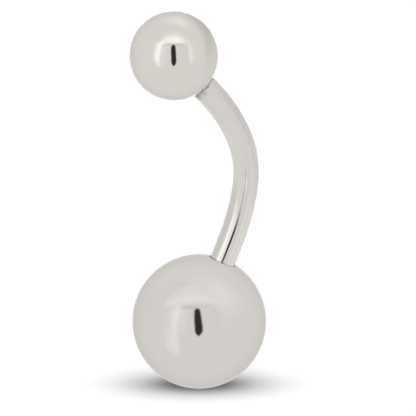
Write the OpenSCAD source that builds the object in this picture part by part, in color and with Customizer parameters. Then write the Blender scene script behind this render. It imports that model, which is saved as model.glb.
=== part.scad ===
// Navel ring: a bent bar with a large ball fixed on its lower end and a small ball that screws on to
// its upper end. It lies on its side, on both balls and on the outside of the bend. Millimetres.

/* [Bar] */
// Diameter of the bent bar
bar_d = 1.5; // [1.4:0.05:1.8]
// Straight length that shows at the large ball
lower_straight = 1; // [0.6:0.1:2.5]
// Length of the bend, measured along its curve
bend_length = 10.1; // [7:0.1:12]
// Angle that the bend turns through
bend_angle = 65; // [45:0.5:80]
// Straight length under the small ball
upper_straight = 0.2; // [0.2:0.1:1.5]
// Bevel round the edge of the shoulder under the small ball
shoulder_bevel = 0.05; // [0.02:0.01:0.12]

/* [Large ball] */
// Diameter of the large ball
bottom_ball_d = 8; // [7:0.1:10]
// Depth that the full width of the bar is sunk into the large ball
seat_depth = 0.15; // [0.1:0.05:0.5]
// Diameter of the thinner plug that holds the large ball
plug_d = 1.2; // [0.8:0.05:1.3]
// Length of the plug
plug_length = 2.8; // [1.5:0.1:3.2]
// Gap all round the plug and round the bar's seat
plug_clearance = 0.02; // [0.01:0.005:0.04]
// Width of the small countersink round the large ball's hole
bottom_countersink = 0.04; // [0.02:0.01:0.12]

/* [Small ball] */
// Diameter of the small ball
top_ball_d = 5; // [4.5:0.1:6.5]
// Gap between the shoulder and the mouth of the small ball's hole
shoulder_gap = 0.12; // [0.06:0.01:0.25]
// Width of the small countersink round the small ball's hole
top_countersink = 0.06; // [0.03:0.01:0.08]

/* [Thread] */
// Outer diameter of the threaded stud
thread_d = 1.2; // [0.9:0.05:1.2]
// Length of the stud from the shoulder to its tip
thread_length = 2.2; // [1.5:0.1:2.6]
// Distance from one thread to the next
thread_pitch = 0.25; // [0.2:0.01:0.3]
// Gap all round the stud in the small ball's hole
thread_clearance = 0.03; // [0.01:0.01:0.08]

/* [Holes] */
// Room left between a pin's tip and the floor of its hole
hole_end_room = 0.2; // [0.1:0.05:0.4]

/* [Hidden] */

// The bend is made of seven equal lengths. Each takes this share of its angle, from the large ball
// up, so that the ends open out gently and the bend is tightest in the middle.
turn_shares = [0.06, 0.09, 0.15, 0.23, 0.21, 0.14, 0.12];
bends = len(turn_shares);
// Length and turn of each piece of the bar, from the large ball up
lengths = [lower_straight, for (share = turn_shares) bend_length / bends, upper_straight];
turns = [0, for (share = turn_shares) share * bend_angle, 0];
pieces = len(lengths);

bar_r = bar_d / 2;
bottom_r = bottom_ball_d / 2;
top_r = top_ball_d / 2;
round_fn = 96;
// Every second bend is this much thinner and runs this far into its neighbours, to join them cleanly
joint_step = 0.005;
joint_overlap = 0.05;

plug_r = plug_d / 2;
plug_hole_r = plug_r + plug_clearance;
seat_r = bar_r + plug_clearance;
plug_bevel = 0.15;
thread_r = thread_d / 2;
core_r = thread_r - 0.61 * thread_pitch;
stud_hole_r = thread_r + thread_clearance;
tip_bevel = 0.15;
// The first and last pitch of the stud are left plain
thread_count = floor(thread_length / thread_pitch) - 2;
thread_start = thread_length - (thread_count + 1) * thread_pitch;
// Depth of the cone that a drill's point leaves at the end of a hole
drill_point = 0.3;

// Distance from a ball's centre to the circle where a round hole breaks its surface
function mouth_distance(ball_r, hole_r) = sqrt(ball_r * ball_r - hole_r * hole_r);
bottom_mouth = mouth_distance(bottom_r, seat_r + bottom_countersink);
bottom_seat = bottom_mouth - bottom_countersink - seat_depth;
top_mouth = mouth_distance(top_r, stud_hole_r + top_countersink);
shoulder_distance = top_mouth + shoulder_gap;

// The bend lies in a flat plane. The large ball's centre is its origin and the bar leaves it along X.
function way(angle) = [cos(angle), sin(angle)];
function heading(i) = i == 0 ? 0 : heading(i - 1) + turns[i - 1];
// A bent piece's chord as a share of its curved length
function chord_share(turn) = turn == 0 ? 1 : sin(turn / 2) * 360 / (turn * PI);
function along(i, share) = lengths[i] * share * chord_share(turns[i] * share)
    * way(heading(i) + turns[i] * share / 2);
function start(i) = i == 0 ? [bottom_mouth, 0] : start(i - 1) + along(i - 1, 1);
shoulder = start(pieces);
shoulder_heading = heading(pieces);
top_centre = shoulder + shoulder_distance * way(shoulder_heading);

// Points and headings close together along the bar's centre line
samples = 24;
line_points = [for (i = [0:pieces - 1], k = [0:samples]) start(i) + along(i, k / samples)];
line_headings = [for (i = [0:pieces - 1], k = [0:samples]) heading(i) + turns[i] * k / samples];

// How it rests. The line through the ball centres slopes down to the small ball, and the bend rolls
// over about that line until the outside of the bar meets the floor.
centre_distance = norm(top_centre);
centre_angle = atan2(top_centre[1], top_centre[0]);
slope = asin((bottom_r - top_r) / centre_distance);
outward = way(centre_angle - 90);
// What a step in the bend's plane adds to the height, for a given roll
function rise(roll) = -sin(slope) * way(centre_angle) - cos(slope) * sin(roll) * outward;
function underside(k, roll) = bottom_r + line_points[k] * rise(roll)
    - bar_r * sqrt(1 - pow(way(line_headings[k]) * rise(roll), 2));
function lowest(roll) = min([for (k = [0:len(line_points) - 1]) underside(k, roll)]);
function resting_roll(low, high, tries) = tries == 0 ? (low + high) / 2
    : lowest((low + high) / 2) > 0 ? resting_roll((low + high) / 2, high, tries - 1)
    : resting_roll(low, (low + high) / 2, tries - 1);
roll = resting_roll(0, 90, 30);
// The middle of the whole ring's width and length as it rests
bar_reach = max([for (p = line_points) p * outward]) * cos(roll) + bar_r;
middle_x = (max(bottom_r, bar_reach) - bottom_r) / 2;
middle_y = (centre_distance * cos(slope) + top_r - bottom_r) / 2;

// Lays the ring down from the plane of its bend to its place on the floor
module laid() {
    translate([-middle_x, -middle_y, bottom_r])
        rotate([-slope, 0, 0])
            rotate([0, roll, 0])
                rotate([0, 0, 90 - centre_angle])
                    children();
}

// Points Z along the bar at a place in the bend's plane
module facing(place, angle) {
    translate([place[0], place[1], 0])
        rotate([0, 90, angle])
            children();
}

// One bent piece of the bar, turned about its own centre
module bend(i) {
    thin = i % 2 == 1;
    r = thin ? bar_r - joint_step : bar_r;
    bend_r = lengths[i] * 180 / (turns[i] * PI);
    extra = thin ? joint_overlap * 180 / (bend_r * PI) : 0;
    centre = start(i) + bend_r * way(heading(i) + 90);
    translate([centre[0], centre[1], 0])
        rotate([0, 0, heading(i) - 90 - extra])
            rotate_extrude(angle = turns[i] + 2 * extra, $fn = round_fn)
                translate([bend_r, 0])
                    circle(r = r, $fn = round_fn);
}

// Straight lower end with the plug that goes into the large ball
module plug_end() {
    rotate_extrude($fn = round_fn)
        polygon([
            [0, bottom_seat - plug_length],
            [plug_r - plug_bevel, bottom_seat - plug_length],
            [plug_r, bottom_seat - plug_length + plug_bevel],
            [plug_r, bottom_seat], [bar_r, bottom_seat],
            [bar_r, bottom_mouth + lower_straight], [0, bottom_mouth + lower_straight]
        ]);
}

// Straight upper end, its shoulder and the threaded stud beyond it
module stud_end() {
    rotate_extrude($fn = round_fn)
        polygon(concat(
            [[0, -upper_straight], [bar_r, -upper_straight], [bar_r, -shoulder_bevel],
             [bar_r - shoulder_bevel, 0], [core_r, 0], [core_r, thread_start]],
            [for (i = [0:thread_count - 1], half = [1, 2])
                [half == 1 ? thread_r : core_r, thread_start + (i + half / 2) * thread_pitch]],
            [[core_r, thread_length - tip_bevel], [core_r - tip_bevel, thread_length],
             [0, thread_length]]));
}

module bar() {
    color("lightgray") laid() {
        facing([0, 0], 0)
            plug_end();
        for (i = [1:bends])
            bend(i);
        facing(shoulder, shoulder_heading)
            stud_end();
    }
}

// Small ball, drilled from the side that faces the bar to a little past the stud's tip
module top_ball() {
    hole_end = shoulder_distance - thread_length - hole_end_room;
    color("silver") laid() facing(top_centre, shoulder_heading + 180)
        rotate_extrude($fn = round_fn)
            difference() {
                half_disc(top_r);
                polygon([
                    [-1, hole_end - drill_point], [0, hole_end - drill_point],
                    [stud_hole_r, hole_end], [stud_hole_r, top_mouth - top_countersink],
                    [stud_hole_r + top_countersink, top_mouth],
                    [stud_hole_r + top_countersink, top_r + 1], [-1, top_r + 1]
                ]);
            }
}

// Large ball, drilled for the plug and counterbored for the full width of the bar
module bottom_ball() {
    hole_end = bottom_seat - plug_length - hole_end_room;
    seat_floor = bottom_seat - plug_clearance;
    color("silver") laid() facing([0, 0], 0)
        rotate_extrude($fn = round_fn)
            difference() {
                half_disc(bottom_r);
                polygon([
                    [-1, hole_end - drill_point], [0, hole_end - drill_point],
                    [plug_hole_r, hole_end], [plug_hole_r, seat_floor], [seat_r, seat_floor],
                    [seat_r, bottom_mouth - bottom_countersink],
                    [seat_r + bottom_countersink, bottom_mouth],
                    [seat_r + bottom_countersink, bottom_r + 1], [-1, bottom_r + 1]
                ]);
            }
}

// Outline of half a ball, for turning
module half_disc(r) {
    intersection() {
        circle(r = r, $fn = round_fn);
        translate([0, -r])
            square([r, 2 * r]);
    }
}

bar();
top_ball();
bottom_ball();
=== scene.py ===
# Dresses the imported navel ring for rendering: a drawn and bent steel bar, two mirror-polished balls
# and the threaded stud that the small ball screws on to, on matt white paper in a white light tent.
import math

import bpy
import numpy as np
from mathutils import Matrix, Vector


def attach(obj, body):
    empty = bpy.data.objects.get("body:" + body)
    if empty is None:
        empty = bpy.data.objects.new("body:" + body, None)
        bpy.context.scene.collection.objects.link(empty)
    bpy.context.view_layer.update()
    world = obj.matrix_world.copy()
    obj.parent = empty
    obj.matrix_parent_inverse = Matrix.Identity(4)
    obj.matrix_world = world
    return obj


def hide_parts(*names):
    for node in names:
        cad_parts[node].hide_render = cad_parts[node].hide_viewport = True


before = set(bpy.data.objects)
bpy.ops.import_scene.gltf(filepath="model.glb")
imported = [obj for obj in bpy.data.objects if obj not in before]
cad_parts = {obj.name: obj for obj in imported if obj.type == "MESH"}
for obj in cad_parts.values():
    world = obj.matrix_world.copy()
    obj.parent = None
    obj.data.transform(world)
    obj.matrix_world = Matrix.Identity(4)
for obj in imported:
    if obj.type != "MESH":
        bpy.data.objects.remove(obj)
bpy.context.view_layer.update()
mm = 0.001
print("frame loaded")

# sizes in millimetres, the same ones that the solids were made from
barSizes = {
    "diameter": 1.5,
    "lowerStraight": 1.0,
    "bendLength": 10.1,
    "bendAngle": 65.0,
    "upperStraight": 0.2,
    "shoulderBevel": 0.05,
    "turnShares": (0.06, 0.09, 0.15, 0.23, 0.21, 0.14, 0.12),
    "plugDiameter": 1.2,
    "plugLength": 2.8,
    "plugBevel": 0.15,
    "seatEdge": 0.015,      # softened edge where the full width of the bar begins
    "supportRow": 0.02,     # a row this close to a sharp corner keeps its mirror true
    "sides": 96,
    "ringSpacing": 0.1,
    "finerSteps": 8,        # steps from ring to ring when the bend's line is worked out
    # shares of the shoulder's bevel: back from the shoulder, and in from the bar's side
    "shoulderShape": ((1.4, 0.0), (1.0, 0.0), (0.6, 0.12), (0.25, 0.42), (0.0, 1.0)),
}
studSizes = {
    "diameter": 1.2,
    "length": 2.2,
    "pitch": 0.25,
    "depthShare": 0.61,     # depth of the thread as a share of its pitch
    "tipBevel": 0.15,
    "plainNeck": 0.2,       # left smooth under the shoulder
    "firstRow": 0.1,        # where the rows of the thread begin
    "rowsPerPitch": 12,
    # the hollow where the neck leaves the shoulder: mm along the stud, and mm out from its core
    "neckShape": ((0.0, 0.05), (0.03, 0.012), (0.06, 0.0)),
}
largeBallSizes = {
    "diameter": 8.0,
    "seatDepth": 0.15,
    "clearance": 0.02,
    "countersink": 0.04,
    # shares of the countersink: out from the hole, and down from its mouth
    "countersinkShape": ((0.55, 0.2), (0.2, 0.55), (0.0, 1.0), (0.0, 1.6)),
    "drillPoint": 0.3,
    "endRoom": 0.2,
    "sides": 128,
}
smallBallSizes = {
    "diameter": 5.0,
    "shoulderGap": 0.12,
    "clearance": 0.03,
    "countersink": 0.06,
    "countersinkShape": ((0.55, 0.22), (0.2, 0.6), (0.0, 1.0)),
    "drillPoint": 0.3,
    "endRoom": 0.2,
    "tapDepth": 0.07,       # how far the tapped thread is cut into the wall of the hole
    "tapRowsPerPitch": 8,
    "tapStart": (0.04, 0.25),   # mm from the mouth over which the grooves begin
    "tapEnd": (0.05, 0.3),      # and from the hole's end over which they run out
    "sides": 128,
}
ballShape = {
    "rows": 84,                     # from the far pole to the hole
    "edgeRows": (0.012, 0.004),     # radians; two narrow rows keep the mirror true up to the hole
}

barRadius = barSizes["diameter"] / 2
largeRadius = largeBallSizes["diameter"] / 2
smallRadius = smallBallSizes["diameter"] / 2
seatRadius = barRadius + largeBallSizes["clearance"]
studHoleRadius = studSizes["diameter"] / 2 + smallBallSizes["clearance"]


def fade(value, start, end):
    t = min(1.0, max(0.0, (value - start) / (end - start)))
    return t * t * (3 - 2 * t)


def mouthDistance(ballRadius, holeRadius):
    # from a ball's centre to the circle where a round hole breaks its surface
    return math.sqrt(ballRadius ** 2 - holeRadius ** 2)


largeMouth = mouthDistance(largeRadius, seatRadius + largeBallSizes["countersink"])
largeSeat = largeMouth - largeBallSizes["countersink"] - largeBallSizes["seatDepth"]
smallMouth = mouthDistance(smallRadius, studHoleRadius + smallBallSizes["countersink"])
shoulderDistance = smallMouth + smallBallSizes["shoulderGap"]


# the bar's centre line, in the flat plane of its bend, with the large ball's centre at 0
def barLine():
    # exact end of the seven bends of the solid
    step = barSizes["bendLength"] / len(barSizes["turnShares"])
    bends = [math.radians(barSizes["bendAngle"] * share) for share in barSizes["turnShares"]]
    turns = [0.0] + bends + [0.0]
    lengths = [barSizes["lowerStraight"]] + [step] * len(bends) + [barSizes["upperStraight"]]
    point, heading = Vector((largeMouth, 0.0)), 0.0
    knots, place = [(0.0, 0.0)], 0.0
    for length, turn in zip(lengths, turns):
        chord = length if turn == 0 else length * math.sin(turn / 2) / (turn / 2)
        point = point + chord * Vector((math.cos(heading + turn / 2), math.sin(heading + turn / 2)))
        heading += turn
        place += length
        knots.append((place, heading))
    # the same turn, run through smoothly, so that reflections glide along the bar without kinks
    slopes = []
    for i in range(len(knots)):
        before = (knots[i][1] - knots[i - 1][1]) / (knots[i][0] - knots[i - 1][0]) if i else 0.0
        last = i + 1 == len(knots)
        after = 0.0 if last else (knots[i + 1][1] - knots[i][1]) / (knots[i + 1][0] - knots[i][0])
        slopes.append(0.0 if before * after <= 0 else 2 * before * after / (before + after))

    def smoothHeading(s):
        for i in range(len(knots) - 1):
            if s <= knots[i + 1][0] or i == len(knots) - 2:
                h = knots[i + 1][0] - knots[i][0]
                t = (s - knots[i][0]) / h
                return ((2 * t ** 3 - 3 * t ** 2 + 1) * knots[i][1]
                        + (t ** 3 - 2 * t ** 2 + t) * h * slopes[i]
                        + (3 * t ** 2 - 2 * t ** 3) * knots[i + 1][1]
                        + (t ** 3 - t ** 2) * h * slopes[i + 1])

    count = round(place / barSizes["ringSpacing"])
    line = [(Vector((largeMouth, 0.0)), 0.0)]
    fine = barSizes["finerSteps"]
    for i in range(count):
        here = line[-1][0].copy()
        for j in range(fine):
            middle = smoothHeading((i + (j + 0.5) / fine) * place / count)
            here += place / count / fine * Vector((math.cos(middle), math.sin(middle)))
        line.append((here, smoothHeading((i + 1) * place / count)))
    # the small difference at the far end is spread along the whole length
    drift = point - line[-1][0]
    line = [(p + drift * fade(i, 0, count), a) for i, (p, a) in enumerate(line)]
    return line, point, heading, place


centreLine, shoulder, shoulderHeading, barLength = barLine()
shoulderWay = Vector((math.cos(shoulderHeading), math.sin(shoulderHeading)))
smallCentre = shoulder + shoulderDistance * shoulderWay


# how it lies: on both balls and on the outside of the bend
def restingPlace():
    distance = smallCentre.length
    centreAngle = math.atan2(smallCentre.y, smallCentre.x)
    slope = math.asin((largeRadius - smallRadius) / distance)

    def turned(roll):
        return (Matrix.Rotation(-slope, 4, "X") @ Matrix.Rotation(roll, 4, "Y")
                @ Matrix.Rotation(math.pi / 2 - centreAngle, 4, "Z"))

    def lowest(roll):
        m = turned(roll).to_3x3()
        undersides = []
        for p, a in centreLine:
            way = m @ Vector((math.cos(a), math.sin(a), 0))
            height = largeRadius + (m @ Vector((p.x, p.y, 0))).z
            undersides.append(height - barRadius * math.sqrt(1 - way.z ** 2))
        return min(undersides)

    near, far, halvings = 0.0, math.pi / 2, 40
    for i in range(halvings):
        half = (near + far) / 2
        near, far = (half, far) if lowest(half) > 0 else (near, half)
    roll = (near + far) / 2
    outward = Vector((math.cos(centreAngle - math.pi / 2), math.sin(centreAngle - math.pi / 2)))
    reach = max(p.dot(outward) for p, a in centreLine) * math.cos(roll) + barRadius
    middleX = (max(largeRadius, reach) - largeRadius) / 2
    middleY = (distance * math.cos(slope) + smallRadius - largeRadius) / 2
    return Matrix.Translation((-middleX, -middleY, largeRadius)) @ turned(roll)


laid = restingPlace()
print("resting place worked out")


def ringsToMesh(name, rings, places, sides, slotOf, sharpAngle=32):
    # Rings of points, closed by a single point at each end. Places are mm on the straightened piece.
    # slotOf gives the material of the faces that start at a ring, where it isn't the first one.
    points, marks, faces, slots = [], [], [], []
    for ring, ringPlaces in zip(rings, places):
        points += ring
        marks += ringPlaces
    for i in range(1, len(rings) - 2):
        a = 1 + (i - 1) * sides
        for k in range(sides):
            m = (k + 1) % sides
            faces.append((a + k, a + m, a + sides + m, a + sides + k))
            slots.append(slotOf.get(i, 0))
    last = len(points) - 1
    end = 1 + (len(rings) - 3) * sides
    for k in range(sides):
        m = (k + 1) % sides
        faces.append((0, 1 + m, 1 + k))
        faces.append((last, end + k, end + m))
        slots += [slotOf.get(0, 0), slotOf.get(len(rings) - 2, 0)]
    mesh = bpy.data.meshes.new(name)
    mesh.from_pydata([p * mm for p in points], [], faces)
    mark = mesh.attributes.new("straightPlace", "FLOAT_VECTOR", "POINT")
    mark.data.foreach_set("vector", [c for p in marks for c in p])
    mesh.polygons.foreach_set("material_index", slots)
    mesh.update()
    mesh.shade_smooth()
    mesh.set_sharp_from_angle(angle=math.radians(sharpAngle))
    piece = bpy.data.objects.new(name, mesh)
    bpy.context.scene.collection.objects.link(piece)
    return piece


def threadHeight(share):
    # 60 degree thread: a narrow flat crest, straight flanks and a rounded root
    rootFlat, flanks, rootRound = 0.06, 0.8, 0.15
    t = abs((share % 1.0) - 0.5) * 2
    rise = min(1.0, max(0.0, (1 - t - rootFlat) / flanks))
    return rise if rise > rootRound else rise ** 2 / rootRound


# bar, plug and stud in one piece
def makeBar():
    sides = barSizes["sides"]
    studRadius, pitch = studSizes["diameter"] / 2, studSizes["pitch"]
    depth = studSizes["depthShare"] * pitch
    core = studRadius - depth
    plug = barSizes["plugDiameter"] / 2
    tip = largeSeat - barSizes["plugLength"]
    stations = []       # (centre, heading, radius for each side, length along the straightened bar)

    def add(centre, heading, radius, along):
        stations.append((centre, heading, radius if callable(radius) else (lambda k: radius), along))

    def onAxis(x):
        return Vector((x, 0.0))

    plugBevel, edge, row = barSizes["plugBevel"], barSizes["seatEdge"], barSizes["supportRow"]
    for x, r in ((tip, plug - plugBevel), (tip + plugBevel, plug), (largeSeat - row, plug),
                 (largeSeat, plug), (largeSeat, barRadius - edge), (largeSeat + edge, barRadius),
                 (largeSeat + 2 * row, barRadius)):
        add(onAxis(x), 0.0, r, x - largeMouth)
    bevel = barSizes["shoulderBevel"]
    lastPlain = barLength - bevel * barSizes["shoulderShape"][0][0]
    for i, (p, a) in enumerate(centreLine):
        along = barLength * i / (len(centreLine) - 1)
        if along < lastPlain:
            add(p, a, barRadius, along)
    for back, inward in barSizes["shoulderShape"]:
        add(shoulder - back * bevel * shoulderWay, shoulderHeading, barRadius - inward * bevel,
            barLength - back * bevel)
    for z, out in studSizes["neckShape"]:
        add(shoulder + z * shoulderWay, shoulderHeading, core + out, barLength + z)
    # the thread winds up the stud; it runs out softly at the neck and at the bevelled tip
    first, length = studSizes["firstRow"], studSizes["length"]
    rows = round((length - first) / pitch * studSizes["rowsPerPitch"])
    for j in range(rows + 1):
        z = first + (length - first) * j / rows
        limit = studRadius - max(0.0, z - length + studSizes["tipBevel"])
        runOut = fade(z, studSizes["plainNeck"], studSizes["plainNeck"] + pitch)

        def radius(k, z=z, limit=limit, runOut=runOut):
            return min(core + depth * runOut * threadHeight(z / pitch - k / sides), limit)
        add(shoulder + z * shoulderWay, shoulderHeading, radius, barLength + z)

    rings, places = [], []
    for centre, heading, radius, along in stations:
        inward = Vector((-math.sin(heading), math.cos(heading), 0))
        upward = Vector((0, 0, 1))
        ring, marks = [], []
        for k in range(sides):
            angle = 2 * math.pi * k / sides
            r = radius(k)
            spread = r * math.cos(angle) * inward + r * math.sin(angle) * upward
            ring.append(laid @ (Vector((centre.x, centre.y, 0)) + spread))
            marks.append((r * math.cos(angle), r * math.sin(angle), along))
        rings.append(ring)
        places.append(marks)
    ends = [[laid @ Vector((centre.x, centre.y, 0))] for centre in (stations[0][0], stations[-1][0])]
    rings = ends[:1] + rings + ends[1:]
    places = [[(0, 0, stations[0][3])]] + places + [[(0, 0, stations[-1][3])]]
    # the plug in the large ball, then the bevel and face of the shoulder, then the stud
    slotOf = {0: 1}
    for i, (centre, heading, radius, along) in enumerate(stations):
        if along < 0.0:
            slotOf[i + 1] = 1
        elif along > barLength - bevel:
            slotOf[i + 1] = 2 if along < barLength + bevel else 3
    return ringsToMesh("steel_bar", rings, places, sides, slotOf)


# balls: turned in one go from the far pole round to the hole and down to its drilled end
def makeBall(name, radius, mouthRadius, holeRows, endPoint, turn, sides):
    # holeRows are (radius, or function of the side that gives it, and height) from the mouth inwards
    mouthAngle = math.asin(mouthRadius / radius)
    steps = ballShape["rows"]
    sphere = [math.pi - (math.pi - mouthAngle) * i / steps for i in range(1, steps)]
    sphere += [mouthAngle + extra for extra in ballShape["edgeRows"]] + [mouthAngle]
    rows = [(radius * math.sin(a), radius * math.cos(a)) for a in sphere] + holeRows
    rings, places = [[turn @ Vector((0, 0, -radius))]], [[(0, 0, -radius)]]
    for r, z in rows:
        ring, marks = [], []
        for k in range(sides):
            angle = 2 * math.pi * k / sides
            here = r(k) if callable(r) else r
            place = Vector((here * math.cos(angle), here * math.sin(angle), z))
            ring.append(turn @ place)
            marks.append(tuple(place))
        rings.append(ring)
        places.append(marks)
    rings.append([turn @ Vector((0, 0, endPoint))])
    places.append([(0, 0, endPoint)])
    return ringsToMesh(name, rings, places, sides, {i: 1 for i in range(len(sphere), len(rings))})


def facing(centre, heading):
    # points Z along a heading in the plane of the bend
    return (laid @ Matrix.Translation((centre.x, centre.y, 0)) @ Matrix.Rotation(heading, 4, "Z")
            @ Matrix.Rotation(math.pi / 2, 4, "Y"))


def makeLargeBall():
    s = largeBallSizes
    seatFloor = largeSeat - s["clearance"]
    holeRadius = barSizes["plugDiameter"] / 2 + s["clearance"]
    holeEnd = largeSeat - barSizes["plugLength"] - s["endRoom"]
    cut = s["countersink"]
    rows = [(seatRadius + cut * out, largeMouth - cut * down) for out, down in s["countersinkShape"]]
    rows += [(seatRadius, seatFloor), (holeRadius, seatFloor), (holeRadius, holeEnd)]
    return makeBall("large_ball", largeRadius, seatRadius + cut, rows, holeEnd - s["drillPoint"],
                    facing(Vector((0, 0)), 0.0), s["sides"])


def makeSmallBall():
    s = smallBallSizes
    holeEnd = shoulderDistance - studSizes["length"] - s["endRoom"]
    cut = s["countersink"]
    top = smallMouth - cut
    rows = [(studHoleRadius + cut * out, smallMouth - cut * down) for out, down in s["countersinkShape"]]
    count = round((top - holeEnd) / studSizes["pitch"] * s["tapRowsPerPitch"])
    for j in range(1, count + 1):
        z = top + (holeEnd - top) * j / count
        runOut = fade(top - z, *s["tapStart"]) * fade(z - holeEnd, *s["tapEnd"])

        def radius(k, z=z, runOut=runOut):
            share = z / studSizes["pitch"] - k / s["sides"]
            return studHoleRadius + s["tapDepth"] * runOut * threadHeight(share)
        rows.append((radius, z))
    return makeBall("small_ball", smallRadius, studHoleRadius + cut, rows, holeEnd - s["drillPoint"],
                    facing(smallCentre, shoulderHeading + math.pi), s["sides"])


def hideFrom(thing, *rays):
    for ray in rays:
        setattr(thing, "visible_" + ray, False)


steelBar = makeBar()
largeBall = makeLargeBall()
smallBall = makeSmallBall()
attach(steelBar, "ring")
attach(largeBall, "ring")
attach(smallBall, "screw_ball")
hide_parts("bar")
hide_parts("bottom_ball")
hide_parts("top_ball")
for piece in (steelBar, largeBall, smallBall):
    # they don't show in one another, as in the picture, nor throw patches of light on the paper
    hideFrom(piece, "glossy", "diffuse")
print("bar and balls made")


def colour(hexText):
    # sRGB hex to linear
    channels = [int(hexText[i:i + 2], 16) / 255 for i in (0, 2, 4)]
    return tuple(c / 12.92 if c <= 0.04045 else ((c + 0.055) / 1.055) ** 2.4 for c in channels) + (1.0,)


def addNode(tree, kind, settings=None, links=None):
    # Settings go to the node's own properties or, failing that, to its inputs. A link comes from a
    # socket, or from the first output that a node has in use.
    node = tree.nodes.new(kind)
    for key, value in (settings or {}).items():
        if isinstance(key, str) and hasattr(node, key):
            setattr(node, key, value)
        else:
            node.inputs[key].default_value = value
    for key, source in (links or {}).items():
        if isinstance(source, bpy.types.Node):
            source = next(output for output in source.outputs if output.enabled)
        tree.links.new(source, node.inputs[key])
    return node


def newMaterial(name):
    material = bpy.data.materials.new(name)
    material.use_nodes = True
    material.node_tree.nodes.clear()
    return material, material.node_tree


def newSteel(name):
    # place is in mm on the straightened piece, with Z along the bar or along a ball's hole
    material, tree = newMaterial(name)
    place = addNode(tree, "ShaderNodeAttribute", {"attribute_name": "straightPlace"}).outputs["Vector"]
    return material, tree, place


rangeInputs = ("From Min", "From Max", "To Min", "To Max")   # of a Map Range node


def polishedSteel(name, look):
    # polished surgical steel: a true mirror with the faint unevenness that a polishing mop leaves
    material, tree, place = newSteel(name)
    lines = addNode(tree, "ShaderNodeMapping", {"Scale": look["lineScale"]}, {"Vector": place})
    hairlines = addNode(tree, "ShaderNodeTexNoise", {"Scale": 1.0, "Detail": 3.0, "Roughness": 0.6},
                        {"Vector": lines})
    waves = addNode(tree, "ShaderNodeTexNoise", {"Scale": 1 / look["waveSize"], "Detail": 1.5},
                    {"Vector": place})
    clouds = addNode(tree, "ShaderNodeTexNoise", {"Scale": 1 / look["cloudSize"], "Detail": 4.0},
                     {"Vector": place})
    waviness = addNode(tree, "ShaderNodeBump", {"Strength": 1.0, "Distance": look["waveHeight"] * mm},
                       {"Height": waves})
    scratches = addNode(tree, "ShaderNodeBump", {"Strength": 1.0, "Distance": look["lineHeight"] * mm},
                        {"Height": hairlines, "Normal": waviness})
    cloudRange = dict(zip(rangeInputs, polishLook["cloudSpan"] + look["roughness"]))
    roughness = addNode(tree, "ShaderNodeMapRange", cloudRange, {"Value": clouds})
    smooth, rough = map(colour, look["tones"])
    tone = addNode(tree, "ShaderNodeMix", {"data_type": "RGBA", 6: smooth, 7: rough}, {0: clouds})
    # Painted shade in patches next to where the pieces meet, a little rougher too. On the bar, X points to
    # the inside of the bend.
    axes = addNode(tree, "ShaderNodeSeparateXYZ", {}, {0: place}).outputs
    jointShades = addNode(tree, "ShaderNodeTexNoise", {"Scale": 1 / polishLook["jointShadeSize"], "Detail": 2.0},
                      {"Vector": place})
    for span in look["jointShades"]:
        near = addNode(tree, "ShaderNodeMapRange", dict(zip(rangeInputs, span)), {"Value": axes["Z"]})
        thick = addNode(tree, "ShaderNodeMath", {"operation": "MULTIPLY_ADD", 1: look["jointShadeLean"]},
                        {0: axes["X"], 2: jointShades})
        patches = addNode(tree, "ShaderNodeMapRange", dict(zip(rangeInputs, polishLook["jointShadeSpan"])),
                          {"Value": thick})
        amount = addNode(tree, "ShaderNodeMath", {"operation": "MULTIPLY"}, {0: near, 1: patches})
        tone = addNode(tree, "ShaderNodeMix", {"data_type": "RGBA", 7: colour(polishLook["jointShadeTone"])},
                       {0: amount, 6: tone})
        roughness = addNode(tree, "ShaderNodeMix", {"data_type": "FLOAT", 3: polishLook["jointShadeRoughness"]},
                            {0: amount, 2: roughness})
    steel = addNode(tree, "ShaderNodeBsdfPrincipled",
                    {"Metallic": 1.0, "Specular Tint": colour(look["edgeTint"])},
                    {"Base Color": tone, "Roughness": roughness, "Normal": scratches})
    addNode(tree, "ShaderNodeOutputMaterial", {}, {"Surface": steel})
    return material


def seamSteel(name, look):
    # steel in seams and hollows: dark patches as painted shade, between bare metal with cutting marks
    material, tree, place = newSteel(name)
    shadeNoise = addNode(tree, "ShaderNodeTexNoise", {"Scale": 1 / look["patchSize"], "Detail": 3.0},
                     {"Vector": place})
    shadeMask = addNode(tree, "ShaderNodeMapRange", dict(zip(rangeInputs, look["shadeSpan"])),
                      {"Value": shadeNoise})
    shadeTone, bare = map(colour, look["tones"])
    tone = addNode(tree, "ShaderNodeMix", {"data_type": "RGBA", 6: shadeTone, 7: bare}, {0: shadeMask})
    bump = addNode(tree, "ShaderNodeBump", {"Strength": 1.0, "Distance": look["patchHeight"] * mm},
                   {"Height": shadeNoise})
    steel = addNode(tree, "ShaderNodeBsdfPrincipled",
                    {"Metallic": look["bareShare"], "Roughness": look["roughness"]},
                    {"Base Color": tone, "Normal": bump})
    addNode(tree, "ShaderNodeOutputMaterial", {}, {"Surface": steel})
    return material


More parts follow.
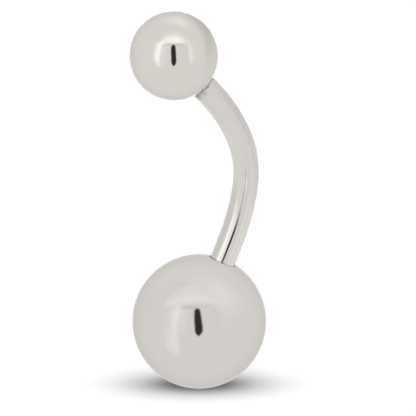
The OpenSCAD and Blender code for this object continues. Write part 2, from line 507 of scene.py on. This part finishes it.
def threadSteel(name, look):
    # cut thread: crests rubbed bright by the small ball, and roots darkened as painted shade
    material, tree, place = newSteel(name)
    across = addNode(tree, "ShaderNodeMapping", {"Scale": (1, 1, 0)}, {"Vector": place})
    radius = addNode(tree, "ShaderNodeVectorMath", {"operation": "LENGTH"}, {0: across})
    height = addNode(tree, "ShaderNodeMapRange", dict(zip(rangeInputs, look["radii"])), {"Value": radius})
    marks = addNode(tree, "ShaderNodeTexNoise", {"Scale": 1 / look["markSize"], "Detail": 3.0},
                    {"Vector": place})
    bright = addNode(tree, "ShaderNodeMath",
                     {"operation": "MULTIPLY_ADD", "use_clamp": True, 1: look["markShare"]},
                     {0: marks, 2: height})
    root, crest = map(colour, look["tones"])
    tone = addNode(tree, "ShaderNodeMix", {"data_type": "RGBA", 6: root, 7: crest}, {0: bright})
    roughness = addNode(tree, "ShaderNodeMapRange", dict(zip(rangeInputs[2:], look["roughness"])),
                        {"Value": height})
    steel = addNode(tree, "ShaderNodeBsdfPrincipled", {"Metallic": 1.0},
                    {"Base Color": tone, "Roughness": roughness})
    addNode(tree, "ShaderNodeOutputMaterial", {}, {"Surface": steel})
    return material


# what the three polished pieces share; a span is of the noise, from where a pattern begins to its full
polishLook = {
    "cloudSpan": (0.3, 0.7),
    # tone, roughness, size and span of the painted shade where the pieces meet
    "jointShadeTone": "989390",
    "jointShadeRoughness": 0.35,
    "jointShadeSize": 0.5,      # mm across
    "jointShadeSpan": (0.45, 0.75),
}
barLook = {
    "tones": ("d4d0cb", "d1cdc9"),
    "edgeTint": "e8e7e6",
    "roughness": (0.05, 0.09),
    "lineScale": (14, 14, 0.5),     # drawn lines 0.07 mm apart, 2 mm long
    "lineHeight": 0.00012,          # mm, as all sizes and heights here
    "waveSize": 1.1,
    "waveHeight": 0.0008,
    "cloudSize": 0.8,
    "jointShades": [(barLength - 0.35, barLength - 0.05), (0.1, 0.02)],     # mm along it, from none to most
    "jointShadeLean": 0.35,             # more of it on the inside of the bend
}
largeBallLook = {
    "tones": ("d3cfca", "d0ccc8"),
    "edgeTint": "e4e3e2",
    "roughness": (0.04, 0.08),
    "lineScale": (1.5, 1.5, 12),    # turning lines 0.08 mm apart round the hole's axis
    "lineHeight": 0.00005,
    "waveSize": 0.9,
    "waveHeight": 0.0006,
    "cloudSize": 1.4,
    "jointShades": [(largeMouth - 0.05, largeMouth)],
    "jointShadeLean": 0.0,
}
smallBallLook = {
    "tones": ("d5d1cc", "d3cfca"),
    "edgeTint": "e4e3e2",
    "roughness": (0.04, 0.07),
    "lineScale": (1.5, 1.5, 12),
    "lineHeight": 0.00005,
    "waveSize": 0.6,
    "waveHeight": 0.0003,
    "cloudSize": 1.0,
    "jointShades": [(smallMouth - 0.06, smallMouth)],
    "jointShadeLean": 0.0,
}
seamLook = {
    "tones": ("1c1b1a", "4a4745"),
    "shadeSpan": (0.35, 0.65),
    "bareShare": 0.6,       # of bare metal between the painted shade
    "roughness": 0.55,
    "patchSize": 0.12,
    "patchHeight": 0.003,
}
shoulderLook = {
    "tones": ("807a77", "cac6c2"),
    "shadeSpan": (0.35, 0.65),
    "bareShare": 1.0,
    "roughness": 0.4,
    "patchSize": 0.3,
    "patchHeight": 0.002,
}
threadLook = {
    "tones": ("4d4946", "dad7d3"),
    "radii": (0.47, 0.585),     # mm from the stud's axis, from the dark root to the bright crest
    "roughness": (0.45, 0.15),
    "markSize": 0.15,           # mm across
    "markShare": 0.15,
}
steelBar.data.materials.append(polishedSteel("drawn and polished surgical steel", barLook))
largeBall.data.materials.append(polishedSteel("turned and mirror-polished surgical steel", largeBallLook))
smallBall.data.materials.append(polishedSteel("tapped and mirror-polished surgical steel", smallBallLook))
# painted shade in the holes, the countersinks and the plug inside the large ball
seam = seamSteel("drilled surgical steel with polishing compound in it", seamLook)
for piece in (steelBar, largeBall, smallBall):
    piece.data.materials.append(seam)
# painted shade on the shoulder's bevel and face, in the gap beside the small ball
shoulderSteel = seamSteel("faced shoulder with traces of polishing compound", shoulderLook)
for material in (shoulderSteel, threadSteel("thread cut in surgical steel", threadLook)):
    steelBar.data.materials.append(material)
print("materials made")


# where the picture was taken from, in mm
cameraSettings = {
    "place": (37.4853, 21.9950, 59.5831),
    "target": (0.6735, -0.5565, 2.2863),
    "pictureUp": (-0.047, 0.9394, -0.3395),
    "lens": 105.22,
    "filmWidth": 36,
    "clip": (0.001, 10),    # metres
}
cameraPlace = Vector(cameraSettings["place"])
ringMiddle = Vector(cameraSettings["target"])
cameraBack = (cameraPlace - ringMiddle).normalized()
cameraRight = Vector(cameraSettings["pictureUp"]).cross(cameraBack).normalized()
cameraUp = cameraBack.cross(cameraRight)
cameraTurn = Matrix((cameraRight, cameraUp, cameraBack)).transposed().to_4x4()
cameraData = bpy.data.cameras.new("camera")
cameraData.lens = cameraSettings["lens"]
cameraData.sensor_width = cameraSettings["filmWidth"]
cameraData.clip_start, cameraData.clip_end = cameraSettings["clip"]
camera = bpy.data.objects.new("camera", cameraData)
camera.matrix_world = Matrix.Translation(cameraPlace * mm) @ cameraTurn
bpy.context.scene.collection.objects.link(camera)
bpy.context.scene.camera = camera
print("camera placed")


stageSettings = {
    "floorSize": 1600,
    "floorTone": "f4f4f4",
    "tent": 1.0,            # brightness of the tent's white cloth
    "tentTone": "ffffff",
    "addedTone": "f8ffff",  # light that comes through the cloth, a little cool
    "fillLight": 0.2,       # what the lamp adds to the brightness of open white paper
    "fillWidth": 50,        # degrees across
    "keyWidth": 5,
    "keyLight": {"large_ball": 0.8, "small_ball": 0.2},
}
# the shade under the large ball, in mm of the picture, and the flag that gives it
shadeSettings = {
    "middle": (-0.08, -3.75),
    "half": (3.8, 0.646),   # half its length and half its width
    "depth": 1.26,
    "falloff": 1.68,
    "columns": (-12, 12.1, 0.3),    # start, end and step of the flag's grid
    "rows": (-6.3, -1.2, 0.1),
    "standOff": 0.5,        # from the paper
}
# Cards round the ring that the metal mirrors. A grid has its step near the middle, how far that step
# goes and half the card's size. Depths are of the opaque card and then of each piece's clear one.
cardSettings = {
    "frontGrid": (1.25, 60, 260.0),
    "sideGrid": (2, 60, 260.0),
    "paperGrid": (0.5, 20, 700),
    "gridGrowth": 0.12,
    "fadeOut": (260.0, 70.0),       # where what is on a card ends, and over how far it fades
    "sideDistance": 100,            # from the middle of the ring to the tent's left side
    "sideFront": 46,                # how far the left side reaches towards the camera
    "depths": (0.1, -0.05, 0.0, 0.05),
    "paperDepths": (-0.003, 0.003, 0.001, -0.001),
    "stripDistance": 2.7,           # from the middle of the ring to the strips in front of the bar
}


def stageMesh(name, points, faces, material, place=None):
    mesh = bpy.data.meshes.new(name)
    mesh.from_pydata([Vector(p) * mm for p in points], [], faces)
    mesh.materials.append(material)
    thing = bpy.data.objects.new(name, mesh)
    bpy.context.scene.collection.objects.link(thing)
    if place is not None:
        thing.matrix_world = place
    return thing


def makeFloor():
    # matt white paper: no sheen, an even spread of light
    material, tree = newMaterial("matt white paper")
    paper = addNode(tree, "ShaderNodeBsdfDiffuse",
                    {"Color": colour(stageSettings["floorTone"]), "Roughness": 0.0})
    addNode(tree, "ShaderNodeOutputMaterial", {}, {"Surface": paper})
    half = stageSettings["floorSize"] / 2
    floor = stageMesh("floor", [(-half, -half, 0), (half, -half, 0), (half, half, 0), (-half, half, 0)],
                      [(0, 1, 2, 3)], material)
    hideFrom(floor, "glossy", "shadow")
    return floor


def onlyMirrored(thing, pieces=()):
    # Shows in metal alone, where pieces are named in theirs alone. The camera and the paper don't see
    # it, and it casts no shadow.
    hideFrom(thing, "camera", "diffuse", "shadow", "transmission", "volume_scatter")
    if pieces:
        thing.light_linking.receiver_collection = linkedGroup(thing.name + "_receivers", pieces)


def makeTent():
    world = bpy.data.worlds.new("tent")
    bpy.context.scene.world = world
    world.use_nodes = True
    world.node_tree.nodes.clear()
    cloth = addNode(world.node_tree, "ShaderNodeBackground",
                    {"Color": colour(stageSettings["tentTone"]), "Strength": stageSettings["tent"]})
    addNode(world.node_tree, "ShaderNodeOutputWorld", {}, {"Surface": cloth})
    world.cycles_visibility.diffuse = False


def linkedGroup(name, things):
    group = bpy.data.collections.new(name)
    for thing in things:
        group.objects.link(thing)
    return group


def floorBehind(right, up):
    # where the lens sees a place beside the large ball's centre against the paper
    centre = laid @ Vector((0, 0, 0)) + right * cameraRight + up * cameraUp
    way = centre - cameraPlace
    return cameraPlace - way * (cameraPlace.z / way.z)


def makeLight(name, width, strength, away, receiver, blockers):
    # a far lamp in this direction; its strength is what it adds to the brightness of open paper
    light = bpy.data.lights.new(name, "SUN")
    light.angle = math.radians(width)
    light.energy = strength * math.pi / away.z
    lamp = bpy.data.objects.new(name, light)
    lamp.rotation_mode = "QUATERNION"
    lamp.rotation_quaternion = (-away).to_track_quat("-Z", "Y")
    hideFrom(lamp, "glossy", "camera")
    bpy.context.scene.collection.objects.link(lamp)
    lamp.light_linking.receiver_collection = linkedGroup(name + "_receivers", [receiver])
    lamp.light_linking.blocker_collection = linkedGroup(name + "_blockers", blockers)


def attributeMaterial(name, kind, attribute, clear, tone=stageSettings["tentTone"]):
    # shines, or lets light through, by a value that the mesh carries
    material, tree = newMaterial(name)
    amount = addNode(tree, "ShaderNodeAttribute", {"attribute_name": attribute})
    if kind == "ShaderNodeEmission":
        shader = addNode(tree, kind, {"Color": colour(tone)}, {"Strength": amount.outputs["Fac"]})
    else:
        shader = addNode(tree, kind, {}, {"Color": amount.outputs["Color"]})
    if clear:
        through = addNode(tree, "ShaderNodeBsdfTransparent")
        shader = addNode(tree, "ShaderNodeAddShader", {}, {0: shader, 1: through})
    addNode(tree, "ShaderNodeOutputMaterial", {}, {"Surface": shader})
    return material


def gridMesh(name, columns, rows, toPlace, attribute, values, material, place=None):
    # a flat grid; columns and rows are mm right and up from its middle
    x, y = np.meshgrid(columns, rows)
    n = len(columns)
    points = [toPlace(px, py) for px, py in zip(x.ravel().tolist(), y.ravel().tolist())]
    faces = [(i * n + j, i * n + j + 1, (i + 1) * n + j + 1, (i + 1) * n + j)
             for i in range(len(rows) - 1) for j in range(n - 1)]
    card = stageMesh(name, points, faces, material, place)
    card.data.attributes.new(attribute, "FLOAT", "POINT").data.foreach_set("value", values.ravel())
    return card


def makeFlag():
    # a graded net in front of the key lamp: the soft shade under the large ball
    shape = shadeSettings
    columns, rows = np.arange(*shape["columns"]), np.arange(*shape["rows"])
    x, y = np.meshgrid(columns, rows)
    far = np.hypot((x - shape["middle"][0]) / shape["half"][0],
                   (y - shape["middle"][1]) / shape["half"][1])
    shade = np.minimum(1.0, shape["depth"] * np.exp(-far ** shape["falloff"]))
    net = attributeMaterial("graded black net", "ShaderNodeBsdfTransparent", "through", False)
    flag = gridMesh("flag", columns, rows,
                    lambda right, up: floorBehind(right, up) + cameraBack * shape["standOff"],
                    "through", 1 - shade, net)
    hideFrom(flag, "camera", "glossy", "diffuse", "transmission")
    return flag


farAway, tiny = 1e9, 1e-9


def smoothLine(points, steps=6):
    # a curve through given points
    line = []
    for i in range(len(points) - 1):
        p0, p1 = points[max(0, i - 1)], points[i]
        p2, p3 = points[i + 1], points[min(len(points) - 1, i + 2)]
        for j in range(steps):
            t = j / steps
            line.append(tuple(0.5 * (2 * b + (c - a) * t + (2 * a - 5 * b + 4 * c - d) * t ** 2
                                     + (3 * b - a - 3 * c + d) * t ** 3)
                              for a, b, c, d in zip(p0, p1, p2, p3)))
    return line + [tuple(points[-1])]


def strokeAmount(x, y, line, across):
    # line points are (x, y, amount); across is (distance to the left of the line's way, share)
    line = smoothLine(line)
    nearest = np.full(x.shape, farAway)
    amount, signed = np.zeros(x.shape), np.zeros(x.shape)
    for (ax, ay, aw), (bx, by, bw) in zip(line[:-1], line[1:]):
        dx, dy = bx - ax, by - ay
        long = math.hypot(dx, dy) + tiny
        t = np.clip(((x - ax) * dx + (y - ay) * dy) / long ** 2, 0, 1)
        ex, ey = x - ax - t * dx, y - ay - t * dy
        far = np.hypot(ex, ey)
        closer = far < nearest - tiny
        nearest = np.where(closer, far, nearest)
        amount = np.where(closer, aw + t * (bw - aw), amount)
        signed = np.where(closer, far * np.sign(dx * ey - dy * ex), signed)
    return amount * np.interp(signed, *zip(*across))


def insideAmount(x, y, outline, softness):
    # 1 inside the closed outline, 0 outside, with an edge this soft
    outline = smoothLine(outline + outline[:1], steps=4)
    nearest = np.full(x.shape, farAway)
    inside = np.zeros(x.shape, bool)
    for (ax, ay), (bx, by) in zip(outline[:-1], outline[1:]):
        dx, dy = bx - ax, by - ay
        t = np.clip(((x - ax) * dx + (y - ay) * dy) / (dx * dx + dy * dy + tiny), 0, 1)
        nearest = np.minimum(nearest, np.hypot(x - ax - t * dx, y - ay - t * dy))
        crosses = ((ay > y) != (by > y)) & (x < ax + (y - ay) * dx / (dy or tiny))
        inside ^= crosses
    return np.clip(0.5 + np.where(inside, nearest, -nearest) / softness, 0, 1)


def spillAmount(x, y, spill):
    # light spilled over the paper round a place, by direction (degrees from X) and distance (mm)
    dx, dy = x - spill["centre"][0], y - spill["centre"][1]
    turn = np.degrees(np.arctan2(dy, dx))
    byTurn = np.interp(turn, *zip(*spill["turns"]))
    byDistance = np.interp(np.hypot(dx, dy), *zip(*spill["distances"]))
    return spill["amount"] * byTurn * byDistance


def brightness(x, y, picture):
    # what a piece mirrors at each place of a card, where 1 is the tent's plain cloth
    end, width = cardSettings["fadeOut"]
    t = np.clip((end - np.hypot(x, y)) / width, 0, 1)
    extra = np.zeros(x.shape)
    for line, across in picture.get("glows", []):
        extra += strokeAmount(x, y, line, across)
    for spill in picture.get("spills", []):
        extra += spillAmount(x, y, spill)
    glow = 1 + extra * t * t * (3 - 2 * t)
    # darker strokes; on the paper cards they are painted shadows
    for line, across in picture.get("darkStrokes", []):
        glow *= 1 - strokeAmount(x, y, line, across)
    if "gap" in picture:
        glow *= 1 - picture["gapDepth"] * insideAmount(x, y, picture["gap"], picture["gapSoftness"])
    return stageSettings["tent"] * glow


def makeCards(name, columns, rows, pictures, depths, place=None):
    # One opaque card holds the least that any piece mirrors. A clear card for each piece, which that
    # piece alone mirrors, adds the rest.
    x, y = np.meshgrid(columns, rows)
    glows = [brightness(x, y, picture) for piece, picture in pictures]
    least = np.minimum.reduce(glows + [np.full(x.shape, stageSettings["tent"])])
    onlyMirrored(gridMesh(name, columns, rows, lambda px, py: (px, py, depths[0]), "glow", least,
                          tentWall, place))
    for (piece, picture), glow, depth in zip(pictures, glows, depths[1:]):
        onlyMirrored(gridMesh(name + "_" + piece.name, columns, rows, lambda px, py: (px, py, depth),
                              "glow", glow - least, addedLight, place), [piece])


def gridTicks(step, near, reach):
    # close together near the middle and wider apart towards the edge
    half = list(np.arange(0, near, step)) + [near]
    while half[-1] < reach:
        half.append(min(reach, half[-1] + 2 * step + (half[-1] - near) * cardSettings["gridGrowth"]))
    return np.array([-h for h in half[:0:-1]] + half)


makeTent()
floor = makeFloor()
flag = makeFlag()
makeLight("fill", stageSettings["fillWidth"], stageSettings["fillLight"], cameraBack, floor,
          [steelBar, largeBall, smallBall])
# each ball's shadow falls straight behind it, out of the lens's sight
for piece, centre in [(largeBall, laid @ Vector((0, 0, 0))), (smallBall, laid @ smallCentre.to_3d())]:
    makeLight("key_" + piece.name, stageSettings["keyWidth"], stageSettings["keyLight"][piece.name],
              (cameraPlace - centre).normalized(), floor, [piece, flag])

tentPlace = Matrix.Translation(cameraPlace * mm) @ cameraTurn
sideTurn = Matrix((cameraBack, cameraUp, -cameraRight)).transposed().to_4x4()
sideMiddle = ringMiddle - cardSettings["sideDistance"] * cameraRight
sidePlace = Matrix.Translation(sideMiddle * mm) @ sideTurn
stripMiddle = ringMiddle + cardSettings["stripDistance"] * cameraBack
stripPlace = Matrix.Translation(stripMiddle * mm) @ cameraTurn

# The lens looks in through a gap in the tent's front flap, and light spills round the flap's edge.
smallBallFront = {
    "gap": [(-1, 35), (3, 34), (5.5, 28), (6.5, 14), (7.5, 0), (8.5, -14), (7.5, -25), (4, -33), (0, -36),
            (-4, -33), (-7, -25), (-8, -14), (-8, 0), (-8.5, 14), (-8, 26), (-6, 33)],
    "gapSoftness": 2.5,
    "gapDepth": 0.96,
    "glows": [([(-77, -56, 0.0), (-65, -40, 0.22), (-59, -20, 0.42), (-52, 5, 0.46), (-47, 28, 0.46),
                (-43, 40, 0.42), (-39, 50, 0.2), (-36, 60, 0.0)],
               [(-40, 0.0), (-28, 0.09), (-20, 0.16), (-12, 0.26), (-7, 0.42), (-3, 0.68), (1, 0.95),
                (7, 1.0), (14, 0.9), (21, 0.7), (28, 0.45), (35, 0.27), (49, 0.08), (70, 0.02), (90, 0.0)]),
              ([(-56, 40, 0.0), (-46, 41, 0.14), (-36, 42, 0.3), (-15, 42, 0.4), (2, 42, 0.47),
                (18, 42, 0.44), (34, 42, 0.26), (46, 40, 0.14), (51, 30, 0.18), (55, 10, 0.19),
                (60, -10, 0.2), (68, -30, 0.14), (80, -54, 0.0)],
               [(-3, 0.0), (0, 0.45), (3, 0.8), (8, 0.96), (16, 1.0), (24, 0.8), (29, 0.62), (37, 0.44),
                (48, 0.3), (58, 0.19), (72, 0.1), (100, 0.0)])],
    "darkStrokes": [([(-42, 37, 0.1), (-28, 36, 0.16), (-12, 36.5, 0.13), (4, 37, 0.2), (20, 37, 0.2),
                  (34, 37, 0.16), (44, 35, 0.2), (47, 30, 0.16), (49, 15, 0.1), (53, -5, 0.06),
                  (60, -25, 0.0)],
                 [(-3, 0.0), (-1, 0.8), (0, 1.0), (1, 0.8), (3, 0.0)])],
}
barFront = {
    "gap": [(-17, -15), (-4, -17), (3, -21), (4, -28), (-2, -29.5), (-10, -28.5), (-17, -26), (-19, -21)],
    "gapSoftness": 3,
    "gapDepth": 0.94,
    "glows": [([(74, -48, 0.0), (76, -58, 0.07), (100, -80, 0.08), (180, -110, 0.08), (210, -140, 0.08)],
               [(-40, 0.0), (-15, 1.0), (15, 1.0), (40, 0.0)])],
    "darkStrokes": [([(88, -22, 0.0), (92, 0, 0.05), (90, 15, 0.05), (86, 32, 0.03), (80, 60, 0.0)],
                 [(-30, 0.0), (-12, 1.0), (12, 1.0), (30, 0.0)]),
                ([(33, -24, 0.0), (37, -34, 0.08), (36, -46, 0.07), (34, -58, 0.0)],
                 [(-16, 0.0), (-6, 1.0), (6, 1.0), (16, 0.0)])],
}
# A strip of light close in front of the bar, in mm right and up from the middle of the ring. Its card
# is no larger than the light; columns and rows are start, end and step.
barStrip = {
    "columns": (-5.1, 1.96, 0.05),
    "rows": (-4.6, 1.36, 0.05),
    "glows": [([(-3.3, -2.9, 0.46), (-2.9, -2.7, 0.46), (-2.4, -2.4, 0.46), (-2.0, -2.1, 0.46),
                (-1.7, -1.8, 0.47), (-1.55, -1.5, 0.47), (-1.35, -1.2, 0.48), (-1.2, -0.9, 0.48),
                (-1.1, -0.65, 0.44), (-1.0, -0.35, 0.36), (-0.95, -0.1, 0.22), (-0.88, 0.15, 0.1),
                (-0.7, 0.5, 0.0)],
               [(-1.7, 0.0), (-1.2, 0.1), (-0.8, 0.4), (-0.4, 0.85), (0, 1.0), (0.5, 0.85), (0.9, 0.45),
                (1.4, 0.1), (1.8, 0.0)]),
              ([(-2.1, -3.4, 0.26), (-1.7, -3.1, 0.26), (-1.1, -2.4, 0.22), (-0.8, -2.0, 0.12),
                (-0.5, -1.6, 0.0)],
               [(-0.8, 0.0), (-0.4, 0.8), (0, 1.0), (0.4, 0.8), (0.8, 0.0)]),
              ([(-0.9, -3.4, 0.27), (-0.7, -3.2, 0.27), (-0.4, -2.9, 0.27), (-0.2, -2.5, 0.27),
                (0, -2.2, 0.27), (0.25, -1.8, 0.27), (0.5, -1.5, 0.28), (0.7, -1.2, 0.26),
                (0.85, -0.8, 0.09), (0.95, -0.5, 0.03), (1.0, -0.2, 0.0)],
               [(-0.95, 0.0), (-0.7, 0.6), (-0.4, 0.9), (0, 1.0), (0.4, 0.9), (0.8, 0.5), (1.3, 0.0)])],
}
# and a thin one that closes the flap's gap where the bend would mirror it
barGapLight = {
    "columns": (0.7, 2.71, 0.05),
    "rows": (-2.3, 1.41, 0.05),
    "glows": [([(2.2, 1.2, 0.0), (2.11, 0.95, 0.4), (2.02, 0.7, 0.62), (1.94, 0.4, 0.66),
                (1.83, 0.0, 0.7), (1.74, -0.3, 0.75), (1.68, -0.7, 0.72), (1.58, -1.0, 0.56),
                (1.46, -1.4, 0.3), (1.34, -1.7, 0.06), (1.2, -2.1, 0.0)],
               [(-0.5, 0.0), (-0.25, 0.85), (0, 1.0), (0.25, 0.85), (0.5, 0.0)])],
}
largeBallFront = {
    "gap": [(-8, 28), (-3, 28.5), (1, 26), (3.5, 16), (5.5, 0), (7.5, -14), (6.5, -23), (2, -29.5),
            (-1.5, -32), (-6, -28.5), (-9, -22), (-9.5, -12), (-10.5, 0), (-11, 14), (-10.5, 24)],
    "gapSoftness": 3.5,
    "gapDepth": 0.955,
    "glows": [([(-80, -150, 0.05), (-75, -110, 0.08), (-64, -70, 0.14), (-57, -40, 0.15), (-53, -15, 0.19),
                (-49, 10, 0.21), (-48, 30, 0.22), (-50, 42, 0.1), (-50, 50, 0.0)],
               [(-22, 0.0), (-14, 0.1), (-6, 0.3), (-2, 0.6), (2, 0.9), (7, 1.0), (14, 1.0), (20, 0.95),
                (28, 0.72), (36, 0.5), (48, 0.3), (64, 0.15), (90, 0.05), (110, 0.0)]),
              ([(-34, 22, 0.05), (-33, 5, 0.07), (-34, -12, 0.05), (-35, -28, 0.02)],
               [(-12, 0.0), (-7, 0.7), (0, 1.0), (6, 0.6), (10, 0.0)]),
              ([(-170, 70, 0.1), (-130, 58, 0.12), (-95, 50, 0.15), (-70, 48, 0.16), (-40, 46, 0.18),
                (-15, 46, 0.19), (10, 46, 0.17), (30, 45, 0.13), (48, 42, 0.11), (58, 30, 0.08),
                (64, 10, 0.05), (72, -10, 0.03), (80, -30, 0.0)],
               [(-14, 0.0), (-8, 0.1), (-3, 0.35), (0, 0.5), (4, 0.8), (10, 1.0), (20, 1.0), (28, 0.85),
                (38, 0.7), (55, 0.57), (80, 0.5), (120, 0.47), (200, 0.45), (300, 0.45)]),
              ([(-160, -160, 0.09), (-120, -100, 0.09), (-90, -60, 0.05), (-70, -40, 0.0)],
               [(-60, 0.0), (-30, 0.6), (0, 1.0), (30, 0.6), (60, 0.0)])],
    "darkStrokes": [([(-52, 36, 0.06), (-38, 35, 0.13), (-22, 32, 0.17), (-10, 31, 0.12), (4, 33, 0.05),
                  (20, 36, 0.04), (34, 37, 0.02)],
                 [(-8, 0.0), (-3, 0.6), (0, 1.0), (3, 0.7), (8, 0.0)]),
                ([(34, 36, 0.04), (38, 22, 0.08), (42, 0, 0.08), (47, -20, 0.05), (52, -36, 0.0)],
                 [(-2.5, 0.0), (0, 1.0), (2.5, 0.0)])],
}
# the paper as the pieces mirror it, drawn on cards: painted light that spills past the flap, and painted
# shadows of the small ball and along the bar
smallBallPaper = {
    "spills": [{"centre": (0, 8.7), "amount": 0.2,
                "turns": [(50, 0.0), (65, 0.5), (80, 1.0), (97, 0.5), (120, 0.0)],
                "distances": [(3.5, 0.0), (5, 0.3), (6.5, 0.9), (8, 1.0), (11, 0.7), (18, 0.2),
                              (30, 0.0)]}],
    "darkStrokes": [([(-0.5, 10.9, 0.0), (0.6, 10.6, 0.12), (1.5, 10.6, 0.2), (2.5, 10.4, 0.2),
                  (3.5, 9.9, 0.17), (5, 9, 0.1), (7, 8, 0.05), (10, 6.5, 0.0)],
                 [(-1.6, 0.0), (-0.8, 0.6), (0, 1.0), (0.8, 0.8), (1.8, 0.3), (2.6, 0.0)]),
                ([(3, 9.8, 0.0), (4.6, 8.6, 0.05), (5.3, 7.5, 0.06), (5.8, 6.2, 0.05), (6.2, 4.5, 0.0)],
                 [(-2.2, 0.0), (-1, 1.0), (1, 1.0), (2.2, 0.0)])],
}
barPaper = {
    "glows": [([(8, -2, 0.0), (9, -4, 0.04), (10, -7, 0.07), (11, -10, 0.07), (12, -15, 0.03)],
               [(-8, 0.0), (-3, 1.0), (3, 1.0), (8, 0.0)]),
              ([(3.5, 0, 0.0), (4, -2, 0.04), (4.5, -4.5, 0.1), (3.5, -7, 0.12)],
               [(-2, 0.0), (-1, 1.0), (1, 1.0), (2, 0.0)]),
              ([(-9, 5, 0.08), (-5, 3, 0.1), (-2, 2, 0.13), (0, 1.5, 0.16), (2, 1.5, 0.12)],
               [(-3, 0.0), (-1.2, 1.0), (1.5, 1.0), (3.5, 0.0)])],
    "darkStrokes": [([(5, 11, 0.02), (5.5, 8, 0.08), (6, 5, 0.12), (6, 3.5, 0.1), (7, 1.5, 0.06),
                  (8, -0.5, 0.01), (9, -3, 0.0)],
                 [(-6, 0.0), (-3, 1.0), (3, 1.0), (6, 0.0)]),
                ([(-3.5, -0.6, 0.0), (-6, -0.3, 0.08), (-14, -0.2, 0.1), (-40, 2, 0.1), (-120, 10, 0.1)],
                 [(-1.5, 0.0), (-0.3, 1.0), (0.3, 1.0), (1.5, 0.0)])],
}
largeBallPaper = {
    "spills": [{"centre": (0, -7.2), "amount": 0.13,
                "turns": [(5, 0.0), (15, 0.25), (25, 0.6), (35, 1.0), (57, 1.0), (65, 0.75), (80, 0.45),
                          (95, 0.3), (110, 0.15), (140, 0.1), (170, 0.0)],
                "distances": [(6, 0.0), (9, 0.15), (12, 0.55), (17, 0.9), (25, 1.0), (500, 1.0)]}],
}
# the tent's left side as the bar mirrors it, in mm towards the camera and up
barSide = {
    "glows": [([(-60, -110, 0.0), (-64, -85, 0.07), (-66, -60, 0.1), (-60, -35, 0.05), (-60, -12, 0.04),
                (-60, 2, 0.0)],
               [(-45, 0.0), (-20, 0.7), (0, 1.0), (100, 1.0)])],
    "darkStrokes": [([(-110, 26, 0.09), (-70, 24, 0.11), (-40, 18, 0.12), (-15, 13, 0.12), (5, 9, 0.1),
                  (25, 5, 0.09), (48, 0, 0.07), (70, -5, 0.0)],
                 [(-24, 0.0), (-10, 0.8), (0, 1.0), (30, 1.0), (60, 0.0)]),
                ([(34, -170, 0.06), (5, -140, 0.07), (-8, -120, 0.06), (-12, -100, 0.03), (-14, -84, 0.0)],
                 [(-30, 0.0), (-15, 1.0), (15, 1.0), (30, 0.0)])],
}
tentWall = attributeMaterial("white tent cloth", "ShaderNodeEmission", "glow", False)
addedLight = attributeMaterial("light through white tent cloth", "ShaderNodeEmission", "glow", True,
                               stageSettings["addedTone"])
plainLight = attributeMaterial("light through plain cloth", "ShaderNodeEmission", "glow", True)
frontTicks = gridTicks(*cardSettings["frontGrid"])
makeCards("tent_front", frontTicks, frontTicks,
          [(smallBall, smallBallFront), (steelBar, barFront), (largeBall, largeBallFront)],
          cardSettings["depths"], tentPlace)
sideTicks = gridTicks(*cardSettings["sideGrid"])
makeCards("tent_side", sideTicks[sideTicks < cardSettings["sideFront"]], sideTicks,
          [(smallBall, {}), (steelBar, barSide), (largeBall, {})], cardSettings["depths"], sidePlace)
paperTicks = gridTicks(*cardSettings["paperGrid"])
makeCards("paper_mirrored", paperTicks, paperTicks,
          [(smallBall, smallBallPaper), (steelBar, barPaper), (largeBall, largeBallPaper)],
          cardSettings["paperDepths"])
for name, depth, picture, material in [("light_strip", 0.0, barStrip, addedLight),
                                       ("gap_light", 0.01, barGapLight, plainLight)]:
    columns, rows = np.arange(*picture["columns"]), np.arange(*picture["rows"])
    glow = brightness(*np.meshgrid(columns, rows), picture) - stageSettings["tent"]
    onlyMirrored(gridMesh(name, columns, rows, lambda px, py: (px, py, depth), "glow", glow,
                          material, stripPlace), [steelBar])
print("stage made")

bpy.context.scene.view_settings.view_transform = "Standard"
